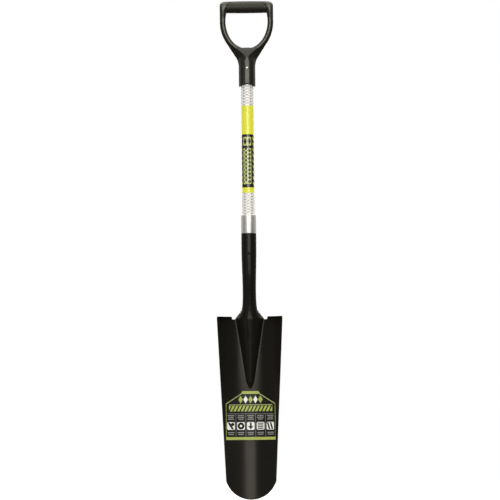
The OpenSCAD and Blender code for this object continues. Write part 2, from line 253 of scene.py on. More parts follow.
class Net:
    """A short way to lay down shader nodes.

    Keyword values are constants or other nodes' sockets, and a colour is (red, green, blue).
    Their keys are the names of sockets, with _ for a space, or their numbers, as i0, i1 and so on.
    """

    def __init__(self, name, world=False):
        self.owner = (bpy.data.worlds if world else bpy.data.materials).new(name)
        self.owner.use_nodes = True
        self.tree = self.owner.node_tree
        self.tree.nodes.clear()

    def add(self, kind, settings=None, **values):
        made = self.tree.nodes.new("ShaderNode" + kind)
        for key, value in (settings or {}).items():
            setattr(made, key, value)
        for key, value in values.items():
            by_number = key[0] == "i" and key[1:].isdigit()
            socket = made.inputs[int(key[1:]) if by_number else key.replace("_", " ")]
            if isinstance(value, bpy.types.NodeSocket):
                self.tree.links.new(value, socket)
            elif socket.type == "RGBA":
                socket.default_value = (*value, 1.0)
            else:
                socket.default_value = value
        return made

    def math(self, operation, a, b=0.0):
        return self.add("Math", {"operation": operation}, i0=a, i1=b).outputs[0]

    def plus(self, a, b):
        return self.math("ADD", a, b)

    def times(self, a, b):
        return self.math("MULTIPLY", a, b)

    def apart(self, a, b):
        """The distance between two values."""
        return self.math("ABSOLUTE", self.math("SUBTRACT", a, b))

    def scale_range(self, value, a, b, to_a=0.0, to_b=1.0, kind="SMOOTHSTEP"):
        """to_a where the value is a or less, to_b where it is b or more, smooth between."""
        made = self.add("MapRange", {"interpolation_type": kind}, Value=value,
                        From_Min=a, From_Max=b, To_Min=to_a, To_Max=to_b)
        return made.outputs["Result"]

    def fade(self, value, edges, full=1.0):
        """full up to the first edge, nothing past the second."""
        return self.scale_range(value, *edges, full, 0.0)

    def rough_between(self, noise, low, high):
        """A roughness spread over the middle of a noise's range."""
        return self.scale_range(noise, 0.3, 0.7, low, high, "LINEAR")

    def blend(self, factor, a, b):
        return self.add("Mix", {"data_type": "RGBA"}, i0=factor, i6=a, i7=b).outputs[2]

    def noise(self, scale, detail, vector=None, roughness=0.55):
        """Noise with scale features to the metre, in the object's own coordinates."""
        if vector is None:
            vector = self.place()
        made = self.add("TexNoise", Scale=scale, Detail=detail, Roughness=roughness, Vector=vector)
        return made.outputs["Fac"]

    def place(self):
        """The object's own coordinates, in metres."""
        return self.add("TexCoord").outputs["Object"]

    def stretched(self, scales):
        return self.add("Mapping", Vector=self.place(), Scale=scales).outputs[0]

    def bump(self, height, strength, distance_mm, under=None):
        """A bumped normal, laid over another one where that is given."""
        values = {"Height": height, "Strength": strength, "Distance": distance_mm * MM}
        if under is not None:
            values["Normal"] = under
        return self.add("Bump", **values).outputs[0]

    def surface(self, colour, rough, normal, **values):
        """Closes the net with one principled shader, and gives the material."""
        shader = self.add("BsdfPrincipled", Base_Color=colour, Roughness=rough, Normal=normal,
                          **values)
        self.add("OutputMaterial", Surface=shader.outputs[0])
        return self.owner


def edge_wear(net, low, high):
    """How rubbed a point is: high along convex edges, broken up by a scuffed noise. The black paint
    also lightens its edges with it, partly as a painted highlight.
    """
    sharp = net.add("NewGeometry").outputs["Pointiness"]
    scuff = net.scale_range(net.noise(160, 6, roughness=0.7), 0.35, 0.7, 0.15, 1.0)
    return net.times(net.scale_range(sharp, low, high), scuff)


def paint_material():
    """Satin black powder coat: orange peel, uneven gloss, a little dust, and rubbed edges whose
    lighter colour is partly a painted highlight along the edges.
    """
    net = Net("black_powder_coat")
    cloud = net.noise(14, 4)
    peel = net.noise(650, 2)
    grain = net.noise(2600, 2)
    dust = net.scale_range(net.noise(38, 8, roughness=0.7), 0.62, 0.8, 0.0, 0.25)
    wear = edge_wear(net, 0.53, 0.62)
    base = net.blend(cloud, (0.0060, 0.0055, 0.0042), (0.0086, 0.0080, 0.0064))
    dusty = net.blend(dust, base, (0.014, 0.0135, 0.0115))
    # lighter colour along convex edges: edge wear, and partly a painted highlight on the sheet's
    # edges
    colour = net.blend(net.times(wear, 0.5), dusty, (0.055, 0.053, 0.050))
    rough = net.rough_between(cloud, 0.17, 0.24)
    rough = net.plus(rough, net.times(net.plus(dust, wear), 0.2))
    normal = net.bump(grain, 0.08, 0.03, net.bump(peel, 0.18, 0.06))
    return net.surface(colour, rough, normal, Specular_IOR_Level=0.13,
                       Specular_Tint=(1.0, 0.95, 0.86))


def grip_material():
    """Moulded black plastic: fine grain, polished edges, matt on top where the hand holds it."""
    held_low_z, held_high_z = 1074.5, 1078.0
    held_in_x, held_out_x = 43.0, 47.0
    net = Net("moulded_black_plastic")
    cloud = net.noise(30, 3)
    grain = net.noise(2200, 3, roughness=0.7)
    coarse = net.noise(240, 2)
    wear = edge_wear(net, 0.52, 0.60)
    base = net.blend(cloud, (0.0046, 0.0038, 0.0018), (0.0068, 0.0060, 0.0036))
    colour = net.blend(net.times(wear, 0.3), base, (0.035, 0.034, 0.031))
    mottle = net.plus(cloud, net.times(grain, 0.4))
    rough = net.scale_range(mottle, 0.4, 1.0, 0.27, 0.37, "LINEAR")
    rough = net.math("SUBTRACT", rough, net.times(wear, 0.06))
    x, _, z = net.add("SeparateXYZ", Vector=net.place()).outputs
    on_bar = net.scale_range(z, held_low_z * MM, held_high_z * MM)
    off_middle = net.math("ABSOLUTE", x)
    held = net.times(on_bar, net.fade(off_middle, (held_in_x * MM, held_out_x * MM)))
    rough = net.plus(rough, net.times(held, 0.24))
    normal = net.bump(grain, 0.25, 0.05, net.bump(coarse, 0.12, 0.10))
    return net.surface(colour, rough, normal, Specular_IOR_Level=0.66,
                       Specular_Tint=(1.0, 0.97, 0.91))


def collar_material():
    """Bright drawn steel, with fine turning marks round it."""
    net = Net("bright_steel")
    rings = net.noise(1.0, 3, net.stretched((60, 60, 9000)))
    smears = net.noise(90, 4)
    colour = net.blend(smears, (0.74, 0.735, 0.72), (0.86, 0.855, 0.84))
    rough = net.plus(net.rough_between(smears, 0.34, 0.42), net.times(rings, 0.06))
    return net.surface(colour, rough, net.bump(rings, 0.10, 0.02), Metallic=1.0)


def rivet_material():
    """Bright rivet head, dimpled by the setting tool."""
    net = Net("rivet_steel")
    marks = net.noise(1600, 3)
    colour = net.blend(marks, (0.70, 0.70, 0.68), (0.88, 0.88, 0.86))
    rough = net.rough_between(marks, 0.14, 0.30)
    return net.surface(colour, rough, net.bump(marks, 0.25, 0.05), Metallic=1.0)


def film_material(name, low, high, gloss):
    """Printed film: a faint dot grain in the ink and a soft ripple in its clear coat."""
    net = Net(name)
    mottle = net.noise(700, 3)
    ripple = net.noise(55, 2)
    scuff = net.scale_range(net.noise(230, 6, roughness=0.7), 0.6, 0.8, 0.0, 0.12)
    wear = edge_wear(net, 0.52, 0.62)
    ink = net.blend(mottle, low, high)
    colour = net.blend(net.plus(scuff, net.times(wear, 0.2)), ink, (0.30, 0.30, 0.28))
    rough = net.plus(net.rough_between(net.noise(120, 3), 0.32, 0.44), scuff)
    normal = net.bump(ripple, 0.12, 0.25, net.bump(mottle, 0.05, 0.02))
    return net.surface(colour, rough, normal, Coat_Weight=gloss, Specular_IOR_Level=0.15,
                       Coat_Roughness=0.15)


def tape_material():
    """Silver prismatic tape: pale sealed cells with dark nodes on a lattice of three waves."""
    pitch = 6.2 * MM
    stretch = 1.55
    net = Net("silver_reflective_tape")
    across, along, _ = net.add("SeparateXYZ", Vector=net.add("TexCoord").outputs["UV"]).outputs
    wave = 2 * math.pi / (pitch * math.cos(math.radians(30)))
    lattice = 0.0
    for turn in (0, 60, 120):
        phase = net.plus(net.times(across, wave * math.cos(math.radians(turn)) / stretch),
                         net.times(along, wave * math.sin(math.radians(turn))))
        lattice = net.plus(lattice, net.math("COSINE", phase))
    dot = net.scale_range(lattice, 0.8, 2.0)
    rib = net.fade(lattice, (-1.5, -0.9))
    glitter = net.noise(1500, 3)
    pale = net.blend(glitter, (0.68, 0.68, 0.665), (0.86, 0.86, 0.845))
    ribbed = net.blend(net.times(rib, 0.5), pale, (0.94, 0.94, 0.93))
    colour = net.blend(net.times(dot, 0.8), ribbed, (0.12, 0.12, 0.11))
    rough = net.rough_between(glitter, 0.26, 0.38)
    normal = net.bump(lattice, 0.2, 0.12, net.bump(glitter, 0.12, 0.05))
    return net.surface(colour, rough, normal, Coat_Weight=0.6, Coat_Roughness=0.12)


def fibreglass_material():
    """Resin over strands that run along the shaft."""
    net = Net("fibreglass")
    strands = net.noise(1.0, 4, net.stretched((1800, 1800, 18)))
    colour = net.blend(strands, (0.52, 0.48, 0.34), (0.78, 0.74, 0.58))
    rough = net.rough_between(strands, 0.25, 0.38)
    return net.surface(colour, rough, net.bump(strands, 0.3, 0.1))


def core_material():
    """Plain pale wood, grain along the shaft."""
    net = Net("core_wood")
    grain = net.noise(1.0, 5, net.stretched((420, 420, 9)))
    colour = net.blend(grain, (0.40, 0.27, 0.14), (0.62, 0.46, 0.27))
    return net.surface(colour, 0.7, net.bump(grain, 0.4, 0.2))


def film_set(name, gloss, lime):
    """The inks of one label, each as the darker and the paler colour of its grain."""
    inks = {
        "black": ((0.006, 0.0058, 0.005), (0.009, 0.0088, 0.0075)),
        "lime": ([0.92 * c for c in lime], lime),
        "pale": ((0.47, 0.53, 0.19), (0.55, 0.61, 0.25)),
        "white": ((0.78, 0.78, 0.76), (0.86, 0.86, 0.84)),
        "grey": ((0.19, 0.19, 0.185), (0.25, 0.25, 0.24)),
    }
    return {ink: film_material(name + "_" + ink + "_ink", low, high, gloss)
            for ink, (low, high) in inks.items()}


paint = paint_material()
plastic = grip_material()
steel = collar_material()
rivet_steel = rivet_material()
tape = tape_material()
shaft_inks = film_set("shaft", 0.8, (0.80, 0.82, 0.05))
blade_inks = film_set("blade", 0.05, (0.40, 0.465, 0.105))


# -------- the sheet's surface

def blade_hw(z):
    return mix(BLADE_LOW_HW, BLADE_TOP_HW, (z - CORNER_Z) / (BLADE_LEN - CORNER_Z))


def frog_hw(z):
    """Half of the frog's width: straight sides, wider below the treads, blunt at the bottom."""
    side = FROG_LOW_HW + (np.minimum(z, FROG_SHOULDER_Z) - FROG_LOW_Z - FROG_END_LEN) * FROG_SLOPE
    shoulder = clamp01((z - FROG_SHOULDER_Z) / (NOTCH_Z - FROG_SHOULDER_Z))
    end = clamp01((z - FROG_LOW_Z) / FROG_END_LEN)
    return mix(side, FROG_TOP_HW, shoulder) * np.sqrt(end * (2 - end))


def floor_y(z):
    return FLOOR_BACK - (BLADE_LEN - z) * math.tan(LIFT)


def trough_y(x, z):
    """The trough: an arc across the upper blade, straighter sides towards the tip."""
    arc = TROUGH_R - np.sqrt(TROUGH_R**2 - x * x)
    tight = SIDE_SLOPE**2 * FLOOR_R
    low = np.sqrt(tight**2 + (SIDE_SLOPE * x) ** 2) - tight
    return floor_y(z) - mix(low, arc, ramp(LOW_TROUGH_Z, HIGH_TROUGH_Z, z))


def neck_back(z):
    """How far the neck has bent back towards the blade."""
    below = np.maximum(0.0, NECK_BEND_Z - z)
    return math.tan(NECK_LEAN) * below * below / (below + NECK_EASE)


def crest_y(z):
    """The frog's crest: a straight line from its low end to the front of the neck."""
    low = floor_y(FROG_LOW_Z) - FROG_END_H
    high = neck_back(FROG_CREST_Z) + SHEET_T / 2 - NECK_R
    return mix(low, high, (z - FROG_LOW_Z) / (FROG_CREST_Z - FROG_LOW_Z))


def pressed_y(x, z):
    """The trough with the frog pressed forward out of it, with a small radius at its foot."""
    hw = np.maximum(frog_hw(z), 0.5)
    v = 1 - (x / hw) ** 2
    inside = 0.5 * (v + np.sqrt(v * v + FROG_FOOT * FROG_FOOT))
    end = ramp(FROG_LOW_Z - 4, FROG_LOW_Z + 14, z)
    return trough_y(x, z) + (crest_y(z) - trough_y(0, z)) * inside * end


def level_points(x, y, z):
    """A row's points, all on one level."""
    return np.stack([x, y, z + 0 * x], axis=-1)


def strip_point(s, z):
    """The middle strip of the sheet: a closed tube above the flare, the frog below it.

    s runs from -1 to 1 across the strip, and below the frog the strip is a plain band.
    """
    flat = clamp01((FLARE_Z - z) / (FLARE_Z - NOTCH_Z)) ** 2
    turn = math.pi * s * SEAM_SHARE
    r = mix(NECK_R, SOCKET_R, ramp(TAPER_LOW_Z, TAPER_HIGH_Z, z)) - SHEET_T / 2
    band_hw = 5 + 9 * ramp(FROG_LOW_Z, FROG_LOW_Z - 60, z)
    x = s * np.maximum(frog_hw(z), band_hw)
    y = pressed_y(x, np.minimum(z, NOTCH_Z))
    return level_points(
        mix(r * np.sin(turn), x, flat), mix(neck_back(z) - r * np.cos(turn), y, flat), z)


def strip_edge(z):
    """The middle strip's right edge."""
    return strip_point(np.array([1.0]), z)[0]


# -------- the blade

# columns of the sheet's grid: the strip, with a share of -1 to 1, and a panel on each side of
# it, with a share of 0 to 1, whose first columns pass under the notch
NOTCH_COLS = 6
NOTCH_SHARE = (TREAD_IN_X - FROG_TOP_HW) / (blade_hw(NOTCH_Z) - FROG_TOP_HW)
PANEL = np.concatenate([
    np.linspace(0, NOTCH_SHARE, NOTCH_COLS + 1)[1:],
    np.linspace(NOTCH_SHARE, 1, 29)[1:],
])
STRIP = np.linspace(-1, 1, 73)
SHARE = np.concatenate([PANEL[::-1], STRIP, PANEL])
SIDE = np.concatenate([-np.ones(len(PANEL)), np.zeros(len(STRIP)), np.ones(len(PANEL))])
IN_STRIP = SIDE == 0

TREAD_BEND_Z = BLADE_LEN - SHEET_T / 2 - TREAD_BEND_R


def level_row(z):
    """Points of the sheet below the treads, on one level."""
    x = SIDE * mix(strip_edge(z)[0], blade_hw(z), SHARE)
    row = level_points(x, pressed_y(x, z), z)
    row[IN_STRIP] = strip_point(STRIP, z)
    return row


def tip_rows(low_z):
    """Rows from the round tip's edge up to the lowest level row."""
    low = level_row(low_z)
    rows = []
    for u in np.linspace(0, 1, 21)[:-1]:
        x = low[:, 0] * mix(BLADE_LOW_HW / blade_hw(low_z), 1, u)
        edge = TIP_R - np.sqrt(np.maximum(0, TIP_R**2 - x * x))
        z = mix(edge, low_z, u)
        rows.append(np.stack([x, trough_y(x, z), z], axis=-1))
    return rows


def blade_rows():
    """Rows from the tip to the treads, the last one dipped to form the two notches."""
    low_z = 70.0
    levels = np.concatenate([
        np.linspace(low_z, FROG_LOW_Z - 9, 26),
        np.linspace(FROG_LOW_Z - 7, FROG_LOW_Z + 27, 24),
        np.linspace(FROG_LOW_Z + 30, NOTCH_Z, 44),
    ])
    rows = tip_rows(low_z) + [level_row(z) for z in levels]
    across = SHARE / NOTCH_SHARE * 2 - 1
    in_notch = ~IN_STRIP & (SHARE < NOTCH_SHARE)
    rows[-1][:, 2] -= NOTCH_DIP * np.where(in_notch, np.sqrt(clamp01(1 - across**2)), 0)
    return rows


def tread_rows():
    """Rows of the treads, with how far each has turned forward: round the bend, then out flat."""
    x = SIDE * mix(FROG_TOP_HW, blade_hw(TREAD_BEND_Z), SHARE)
    base = level_points(x, trough_y(x, TREAD_BEND_Z), TREAD_BEND_Z)
    turns = list(np.linspace(0, math.pi / 2, 11))
    rows = []
    for turn in turns:
        bend = (0, -TREAD_BEND_R * (1 - math.cos(turn)), TREAD_BEND_R * math.sin(turn))
        rows.append(base + np.array(bend))
    x_edge = mix(FROG_TOP_HW, BLADE_TOP_HW, SHARE)
    from_end = np.minimum(BLADE_TOP_HW - x_edge, x_edge - TREAD_IN_X)
    corner = 1 - clamp01(from_end / TREAD_CORNER_W)
    reach = TREAD_DEPTH - TREAD_BEND_R - TREAD_CORNER_D * (1 - np.sqrt(1 - corner**2))
    bent = rows[-1]
    for out in np.linspace(0, 1, 9)[1:]:
        row = bent.copy()
        row[:, 1] -= out * reach
        rows.append(row)
        turns.append(math.pi / 2)
    return rows, turns


def tread_normals(x, turn):
    """Normals across one row of the treads, which turn forward with it."""
    slope = -x / np.sqrt(TROUGH_R**2 - x**2)
    across = np.stack([np.ones(len(x)), slope, 0 * slope], axis=-1)
    normal = np.cross(across, np.array([0, -math.sin(turn), math.cos(turn)]))
    return normal / np.linalg.norm(normal, axis=1, keepdims=True)


def make_blade():
    """The stamped sheet: trough, frog, rolled socket and forward-turned treads.

    Above the notches the grid's rows carry two things at once: the socket in the strip's
    columns, and the treads in the panels'.
    """
    rows = blade_rows()
    low_count = len(rows)
    treads, tread_turns = tread_rows()
    socket_z = np.concatenate([
        np.linspace(NOTCH_Z + 1.5, TAPER_LOW_Z - 3, 30),
        np.linspace(TAPER_LOW_Z, TAPER_HIGH_Z, 34),
        np.linspace(TAPER_HIGH_Z + 8, SOCKET_TOP_Z, 5),
    ])
    for k, z in enumerate(socket_z):
        row = treads[min(k, len(treads) - 1)].copy()
        row[IN_STRIP] = strip_point(STRIP, z)
        rows.append(row)

    mid = np.array(rows)
    normal = grid_normals(mid)
    normal[:, IN_STRIP] = grid_normals(mid[:, IN_STRIP])
    below = grid_normals(mid[:low_count])
    normal[:low_count - 1] = below[:low_count - 1]
    normal[low_count - 1, ~IN_STRIP] = below[-1, ~IN_STRIP]
    for k, turn in enumerate(tread_turns):
        normal[low_count + k, ~IN_STRIP] = tread_normals(treads[0][:, 0], turn)[~IN_STRIP]

    first = len(PANEL)
    last = first + len(STRIP) - 1
    cells = np.zeros((len(rows) - 1, len(SHARE) - 1), bool)
    cells[:low_count - 1] = True
    cells[low_count - 1:, first:last] = True
    tread_top = low_count + len(treads) - 1
    cells[low_count - 1:tread_top, :first - NOTCH_COLS] = True
    cells[low_count - 1:tread_top, last + NOTCH_COLS:] = True
    verts, faces = sheet_mesh(mid, normal, cells, SHEET_T)
    blade = add_object("blade", verts, faces, ["blade"], [paint])
    smooth_shade(blade, 50)
    round_edges(blade, 0.55, 3, 68)


# -------- the back plate

PLATE_TOP_Z = 450.0
PLATE_LAP = 4.0
PLATE_GAP = 0.15
LAP_TOP_Z = NOTCH_Z - 7.5
BEAD_R = 1.8


def plate_hw(z):
    """Half of the plate's width: lapped over the frog, then flush between the strip's edges."""
    if z < LAP_TOP_Z:
        return (frog_hw(z) + PLATE_LAP) * math.sqrt(ramp(FROG_LOW_Z - 9, FROG_LOW_Z + 14, z))
    lapped = frog_hw(LAP_TOP_Z) + PLATE_LAP
    flush = strip_edge(z)[0] - 0.5
    return mix(lapped, flush, ramp(LAP_TOP_Z, NOTCH_Z, z))


def plate_y(x, z):
    """The plate's middle surface, standing off the back of the strip's edges."""
    edge = strip_edge(z)
    return edge[1] + trough_y(x, z) - trough_y(edge[0], z) + SHEET_T + PLATE_GAP


def weld_bead(path, radius):
    """Vertices and faces of a flattened tube with closed ends, its size rippled by two waves."""
    around = 8
    flatten = 0.6
    path = np.asarray(path)
    ahead = np.gradient(path, axis=0)
    ahead /= np.linalg.norm(ahead, axis=1, keepdims=True)
    side = np.cross(ahead, [0, 1, 0])
    side /= np.linalg.norm(side, axis=1, keepdims=True)
    lift = np.cross(side, ahead)
    verts = []
    for k, point in enumerate(path):
        r = radius * (1 + 0.16 * math.sin(k * 2.1) + 0.08 * math.sin(k * 0.77))
        for turn in (2 * math.pi * a / around for a in range(around)):
            spoke = math.cos(turn) * side[k] + flatten * math.sin(turn) * lift[k]
            verts.append(point + r * spoke)
    faces = []
    for low in range(0, (len(path) - 1) * around, around):
        high = low + around
        for a in range(around):
            b = (a + 1) % around
            faces.append((low + a, low + b, high + b, high + a))
    faces.append(tuple(range(around))[::-1])
    faces.append(tuple(range(len(verts) - around, len(verts))))
    return verts, faces


def make_back_plate():
    """Plate lapped over the back of the frog, with a painted weld bead along its edges."""
    levels = np.concatenate([
        np.linspace(FROG_LOW_Z - 4, FROG_LOW_Z + 21, 14),
        np.linspace(FROG_LOW_Z + 27, PLATE_TOP_Z, 46),
    ])
    share = np.linspace(-1, 1, 33)
    rows = []
    for z in levels:
        x = share * plate_hw(z)
        rows.append(level_points(x, plate_y(x, z), z))
    mid = np.array(rows)
    cells = np.ones((len(levels) - 1, len(share) - 1), bool)
    verts, faces = map(list, sheet_mesh(mid, grid_normals(mid), cells, SHEET_T))
    for side in (-1, 1):
        path = []
        for z in np.linspace(FROG_LOW_Z + 2, PLATE_TOP_Z - 3, 110):
            x = side * plate_hw(z)
            sunk = mix(-0.1, 1.1, ramp(LAP_TOP_Z, NOTCH_Z + 5, z))
            path.append((x, plate_y(x, z) - sunk, z))
        bead_verts, bead_faces = weld_bead(path, BEAD_R)
        start = len(verts)
        verts += bead_verts
        faces += [[start + i for i in face] for face in bead_faces]
    plate = add_object("back_plate", verts, faces, ["back_plate"], [paint])
    smooth_shade(plate, 45)


# -------- flat outlines, (across, along)

def rectangle(x0, z0, x1, z1):
    return slanted(x0, z0, x1, z1, 0.0)


def slanted(x0, z0, x1, z1, lean):
    """A parallelogram whose top is moved across by lean."""
    return [(x0, z0), (x1, z0), (x1 + lean, z1), (x0 + lean, z1)]


def rounded(x0, z0, x1, z1, r):
    """A rectangle with rounded corners."""
    points = []
    for cx, cz, start in ((x1 - r, z0 + r, -90), (x1 - r, z1 - r, 0), (x0 + r, z1 - r, 90),
                          (x0 + r, z0 + r, 180)):
        for a in range(0, 91, 30):
            turn = math.radians(start + a)
            points.append((cx + r * math.cos(turn), cz + r * math.sin(turn)))
    return points


def disc(cx, cz, r):
    sides = 20
    turns = [2 * math.pi * k / sides for k in range(sides)]
    return [(cx + r * math.cos(turn), cz + r * math.sin(turn)) for turn in turns]


def diamond(cx, cz, hw, hh):
    return [(cx, cz - hh), (cx + hw, cz), (cx, cz + hh), (cx - hw, cz)]


def down_arrow(cx, cz, size):
    h = size / 2
    return [
        rectangle(cx - h * 0.28, cz - h * 0.1, cx + h * 0.28, cz + h),
        [(cx - h * 0.85, cz - h * 0.05), (cx, cz - h), (cx + h * 0.85, cz - h * 0.05)],
    ]


def clip_at(outline, x_cut, keep):
    """The part of a convex outline to the right (keep 1) or left (keep -1) of x_cut."""
    kept = []
    for (xa, za), (xb, zb) in zip(outline, outline[1:] + outline[:1]):
        inside_a = keep * (xa - x_cut) >= 0
        inside_b = keep * (xb - x_cut) >= 0
        if inside_a:
            kept.append((xa, za))
        if inside_a != inside_b:
            kept.append((x_cut, mix(za, zb, (x_cut - xa) / (xb - xa))))
    return kept


def clipped_bars(x0, z0, x1, z1, pitch, width, lean):
    """Slanted bars across a rectangle, cut off at its ends."""
    bars = []
    for x in np.arange(x0 - lean, x1, pitch):
        bar = slanted(x, z0, x + width, z1, lean)
        bar = clip_at(clip_at(bar, x0, 1), x1, -1)
        if len(bar) > 2:
            bars.append(bar)
    return bars


# -------- printed films

INK_T = 0.025
SHAFT_CUTS = np.arange(-44, 44.1, 2)


def cut_flat(outline, cuts):
    """A flat mesh of the outline, cut across at the given places."""
    flat = bmesh.new()
    flat.faces.new([flat.verts.new((x, 0, z)) for x, z in outline])
    xs = [x for x, _ in outline]
    for cut in cuts:
        if min(xs) + 1e-3 < cut < max(xs) - 1e-3:
            bmesh.ops.bisect_plane(
                flat, geom=flat.verts[:] + flat.edges[:] + flat.faces[:],
                plane_co=(cut, 0, 0), plane_no=(1, 0, 0))
    bmesh.ops.remove_doubles(flat, verts=flat.verts[:], dist=0.01)
    flat.verts.index_update()
    return flat


def slab_faces(flat, start):
    """Faces of a slab over a flat mesh: its lower vertices come first, its upper ones follow."""
    upper = start + len(flat.verts)
    faces = []
    for face in flat.faces:
        loop = [v.index for v in face.verts]
        if face.normal.y > 0:
            loop.reverse()
        faces.append([upper + i for i in loop])
        faces.append([start + i for i in reversed(loop)])
    for edge in flat.edges:
        if len(edge.link_faces) != 1:
            continue
        face = edge.link_faces[0]
        loop = [v.index for v in face.verts]
        if face.normal.y > 0:
            loop.reverse()
        a, b = (v.index for v in edge.verts)
        if loop[(loop.index(a) + 1) % len(loop)] != b:
            a, b = b, a
        faces.append([upper + a, upper + b, start + b, start + a])
    return faces


def film_mesh(base, inks, cuts, place, film_t):
    """A flat film with inked shapes on it, cut into strips and bent onto a surface.

    base is the film's outline, inks a list of (material index, layer, outline), cuts the
    places to cut across, and place(across, along, height) gives the point on the surface.
    """
    slabs = [(base, 0, 0.0, film_t)]
    slabs += [(outline, index, film_t + (layer - 1) * INK_T, film_t + layer * INK_T)
              for index, layer, outline in inks]
    verts, faces, indices = [], [], []
    for outline, index, low, high in slabs:
        flat = cut_flat(outline, cuts)
        made = slab_faces(flat, len(verts))
        faces += made
        indices += [index] * len(made)
        for height in (low, high):
            verts += [place(v.co.x, v.co.z, height) for v in flat.verts]
        flat.free()
    return verts, faces, indices


def add_film(name, base, inked, cuts, place, film_t, ink_set, ground):
    """A label piece from its outline, its ground's ink, and outlines listed by (ink, layer)."""
    order = [ground] + [ink for ink in ink_set if ink != ground]
    inks = [(order.index(ink), layer, outline)
            for (ink, layer), outlines in inked.items() for outline in outlines]
    verts, faces, indices = film_mesh(base, inks, cuts, place, film_t)
    add_object(name, verts, faces, [name], [ink_set[ink] for ink in order], indices)


def on_trough(x, z, height):
    """A point that stands at a height over the trough's painted front."""
    step = 0.5
    across = (trough_y(x + step, z) - trough_y(x - step, z)) / (2 * step)
    up = (trough_y(x, z + step) - trough_y(x, z - step)) / (2 * step)
    out = Vector((across, -1.0, up)).normalized() * (SHEET_T / 2 + 0.12 + height)
    return (x + out.x, trough_y(x, z) + out.y, z + out.z)


def round_shaft(across, along, height):
    """A point of a film that is bent round the shaft, with its seam at the back."""
    r = SHAFT_R + 0.02 + height
    turn = across / WRAP_HALF * math.pi
    return (r * math.sin(turn), -r * math.cos(turn), along)


def work_symbols(cz, columns):
    """Five plain work symbols: a pole, a ring, an arrow, layers and two bars."""
    tall = 7.5
    pole, ring, arrow, layers, bars = columns
    shapes = [
        slanted(pole + 1.5, cz - tall, pole + 6.5, cz + tall, -9),
        disc(pole + 3.6, cz + 3.4, 3.8),
        disc(ring, cz, 7.6),
    ]
    shapes += down_arrow(arrow, cz, 2 * tall)
    for z in (cz - 6.6 + k * 3.7 for k in range(4)):
        shapes.append(rectangle(layers - 6.4, z, layers + 6.4, z + 2.2))
    for x in (bars - 4.0, bars + 2.4):
        shapes.append(slanted(x, cz - tall, x + 3.6, cz + tall, -4))
    return shapes


def text_bars(columns, symbols_z):
    """Plain bars in the place of small print, above and below the symbols."""
    height, pitch = 2.3, 4.0
    bars = []
    for k, x in enumerate(columns):
        above = (6.6, 7.6, 5.6) if k % 2 else (7.4, 5.8, 6.8)
        for top, halves in ((symbols_z + 21.6, above), (symbols_z - 15.6, (7.2, 6.0))):
            for row, half in enumerate(halves):
                z = top - row * pitch
                bars.append(rectangle(x - half, z, x + half, z + height))
    return bars


def make_blade_label():
    """House-shaped label in the trough: borders, plain bands and five plain work symbols."""
    low, high, shoulder = 130.8, 238.4, 210.6
    hw, top_hw = 54.8, 20.4
    edge, band, side_w = 0.3, 6.4, 0.85
    bar_hw, eave, eave_w = 17.8, 3.8, 2.2
    rule_z, rule_h = 188.4, 0.4
    column_w = 21.8
    symbols_z, square = 161.6, 8.5
    hazard_hw, hazard_low, hazard_high = 48.0, 193.6, 205.6
    stripe_low, stripe_high = 207.2, 208.4
    diamond_z, diamond_pitch = 219.6, 11.0
    columns = [k * column_w for k in range(-2, 3)]

    lime = [
        rectangle(-hw + edge, low + edge, hw - edge, low + band),
        [(-bar_hw - eave, high - band), (bar_hw + eave, high - band), (bar_hw, high - edge),
         (-bar_hw, high - edge)],
    ]
    pale = [rectangle(-hazard_hw, stripe_low, hazard_hw, stripe_high)]
    for side in (-1, 1):
        outer = side * (hw - edge)
        inner = side * (hw - edge - side_w)
        left, right = sorted((outer, inner))
        lime.append(rectangle(left, low + band, right, shoulder))
        slope = [(outer, shoulder), (side * (bar_hw + eave), high - band),
                 (side * (bar_hw + eave - eave_w), high - band), (inner, shoulder - 0.9)]
        pale.append(slope[::-side])
    lime += clipped_bars(-hazard_hw, hazard_low, hazard_hw, hazard_high,
                         pitch=8.0, width=5.0, lean=6.0)
    white = [rounded(x - square, symbols_z - square, x + square, symbols_z + square, 2.6)
             for x in columns]
    for k in range(-2, 3):
        (white if k % 2 else lime).append(diamond(k * diamond_pitch, diamond_z, 5.0, 8.4))
    grey = [rectangle(3 - hw, rule_z - rule_h, hw - 3, rule_z + rule_h)]
    for x in ((k - 1.5) * column_w for k in range(4)):
        grey.append(rectangle(x - rule_h, low + 7.5, x + rule_h, rule_z - 0.6))
    grey += text_bars(columns, symbols_z)
    inked = {
        ("lime", 1): lime, ("pale", 1): pale, ("grey", 1): grey, ("white", 1): white,
        ("black", 2): work_symbols(symbols_z, columns),
        ("white", 3): [disc(columns[1], symbols_z, 2.6)],
    }
    house = [(-hw, low), (hw, low), (hw, shoulder), (top_hw, high), (-top_hw, high), (-hw, shoulder)]
    add_film("blade_label", house, inked, np.arange(-54, 54.1, 3), on_trough, 0.15,
             blade_inks, "black")


